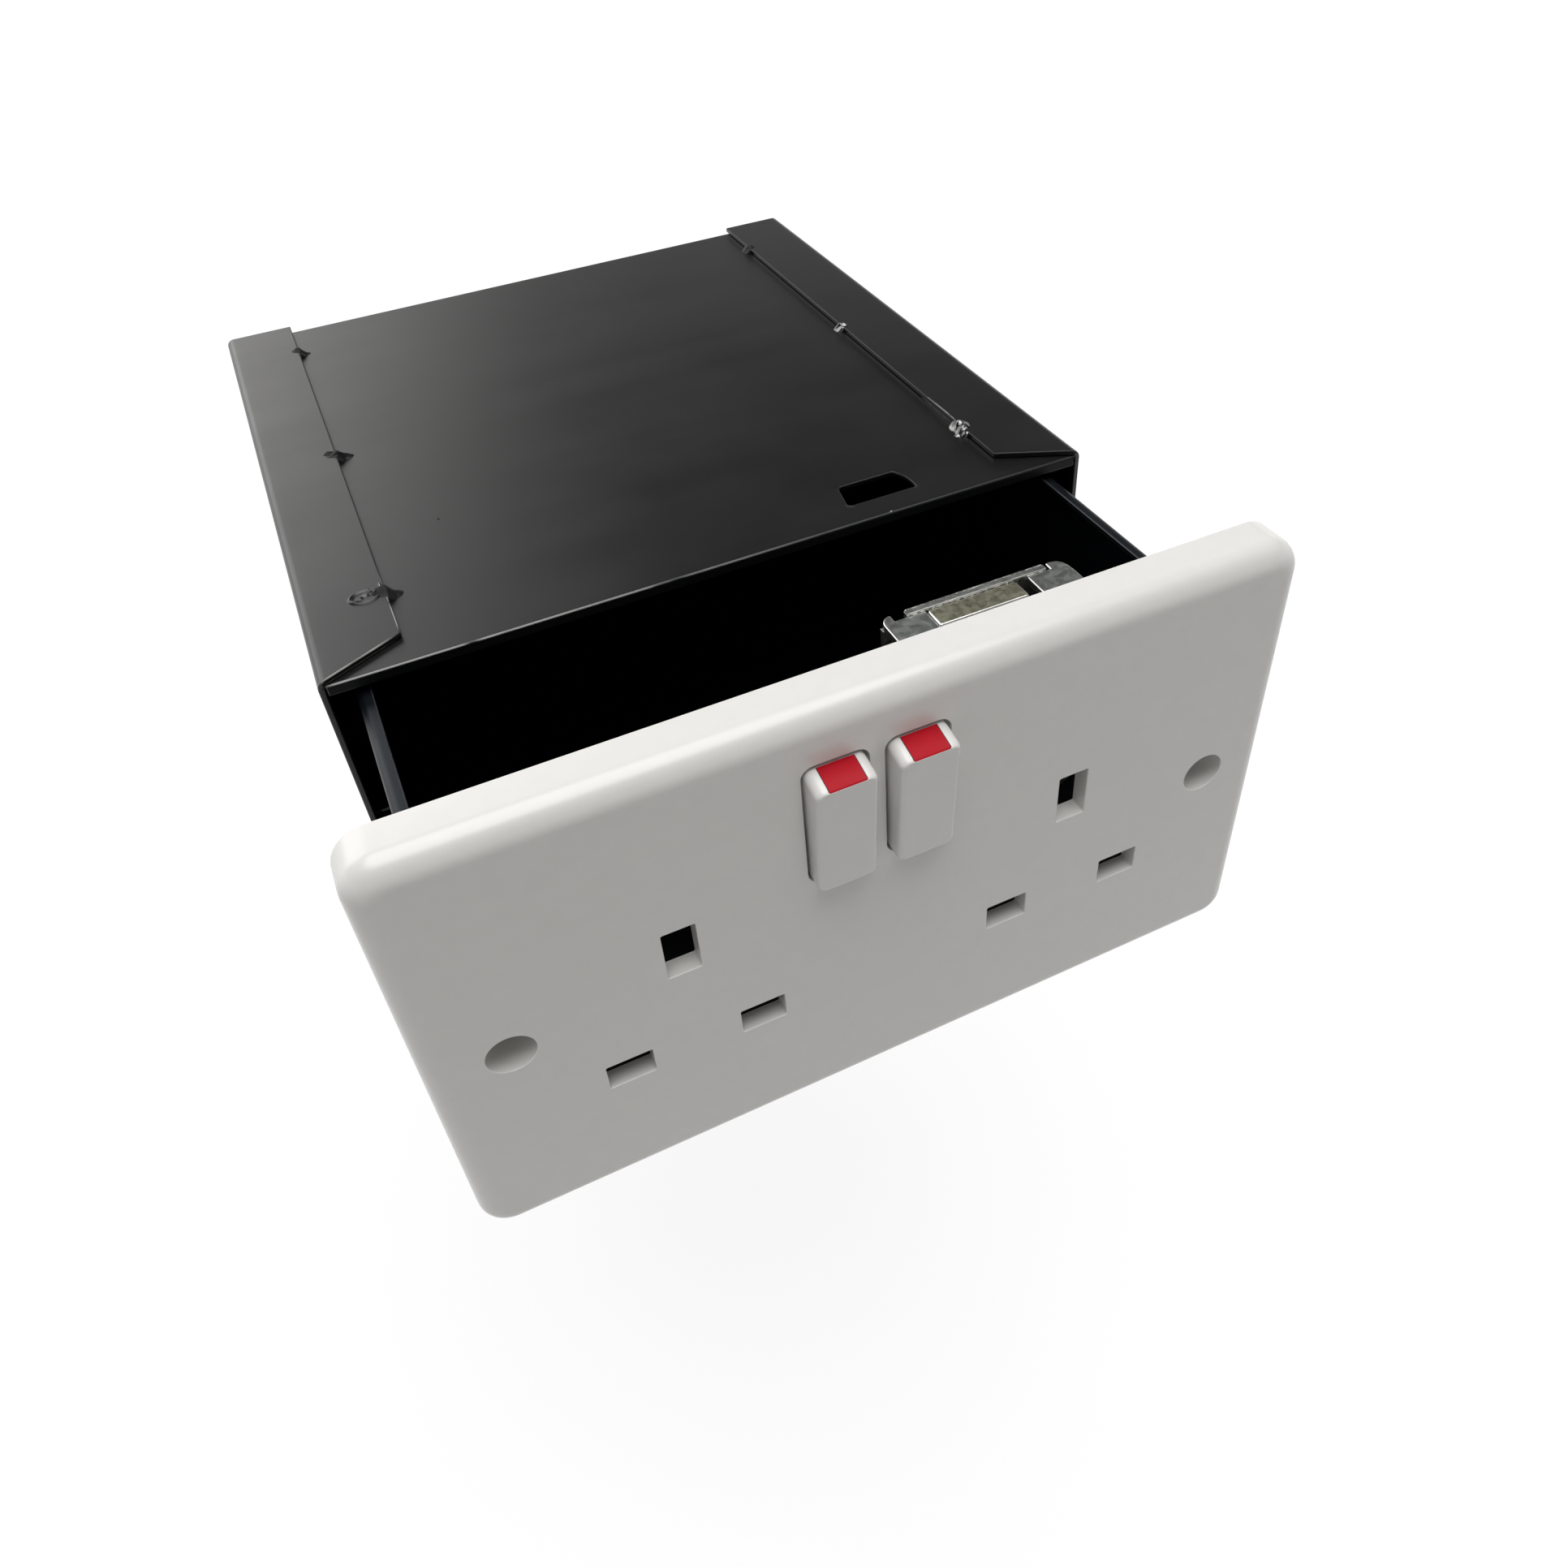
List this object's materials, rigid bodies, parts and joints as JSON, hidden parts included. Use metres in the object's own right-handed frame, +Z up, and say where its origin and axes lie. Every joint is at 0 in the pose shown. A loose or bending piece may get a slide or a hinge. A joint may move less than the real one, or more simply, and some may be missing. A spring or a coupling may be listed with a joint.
{
  "type": "outlet diversion safe",
  "caption": "Hidden wall safe: a steel drawer in a steel case behind a dummy double socket faceplate, with rocker switches and a key lock.",
  "frame": {"origin": "centre of the case's back wall, on its outer face", "axes": "+Y into the wall, the faceplate looks along -Y; +Z up; +X to the right seen from the front. The drawer stands partly pulled out, as pictured"},
  "size_m": [0.146, 0.1993, 0.086],
  "materials": {
    "case_paint": "satin",
    "drawer_paint": "satin",
    "plate_white": "gloss",
    "rocker_white": "gloss",
    "marker_red": "gloss",
    "lock_nickel": "satin",
    "bolt_zinc": "satin",
    "cylinder_steel": "satin",
    "fastener_zinc": "satin"
  },
  "bodies": {
    "case": {"case_wrap": "case_paint", "case_top_back": "case_paint", "guide_rail_left": "case_paint", "guide_rail_right": "case_paint"},
    "drawer": {"drawer_tray": "drawer_paint", "drawer_front_panel": "drawer_paint", "drawer_back_panel": "drawer_paint", "faceplate": "plate_white", "faceplate_screw_1": "fastener_zinc", "faceplate_screw_2": "fastener_zinc", "faceplate_screw_3": "fastener_zinc", "faceplate_screw_4": "fastener_zinc", "lock_top_plate": "lock_nickel", "lock_housing": "lock_nickel", "lock_back_cover": "lock_nickel", "lock_cover_rivet_1": "lock_nickel", "lock_cover_rivet_2": "lock_nickel", "lock_cover_rivet_3": "lock_nickel", "lock_cover_rivet_4": "lock_nickel", "lock_sleeve": "cylinder_steel", "lock_nut": "fastener_zinc", "lock_fixing_screw_left": "fastener_zinc", "lock_fixing_screw_right": "fastener_zinc"},
    "rocker_left": {"rocker_left": "rocker_white", "rocker_left_marker": "marker_red"},
    "rocker_right": {"rocker_right": "rocker_white", "rocker_right_marker": "marker_red"},
    "lock_plug": {"lock_plug": "cylinder_steel", "lock_cam": "fastener_zinc"},
    "lock_bolt": {"lock_bolt": "bolt_zinc"}
  },
  "joints": [
    {"name": "drawer_slide", "type": "slide", "parent": "case", "child": "drawer", "axis": [0, -1, 0], "range_m": [-0.0459, 0.063]},
    {"name": "rocker_left_tilt", "type": "hinge", "parent": "drawer", "child": "rocker_left", "pos_m": [-0.0075, -0.192, 0.0221], "axis": [1, 0, 0], "range_deg": [-8.5, 0]},
    {"name": "rocker_right_tilt", "type": "hinge", "parent": "drawer", "child": "rocker_right", "pos_m": [0.0055, -0.192, 0.0221], "axis": [1, 0, 0], "range_deg": [-8.5, 0]},
    {"name": "lock_plug_turn", "type": "hinge", "parent": "drawer", "child": "lock_plug", "pos_m": [0.0334, -0.1802, 0.00735], "axis": [0, -1, 0], "range_deg": [0, 90]},
    {"name": "lock_bolt_lift", "type": "slide", "parent": "drawer", "child": "lock_bolt", "axis": [0, 0, 1], "range_m": [0, 0.004]}
  ],
  "couplings": [
    {"joint": "lock_plug_turn", "follows": "lock_bolt_lift", "rad_per_m": 392.7}
  ]
}
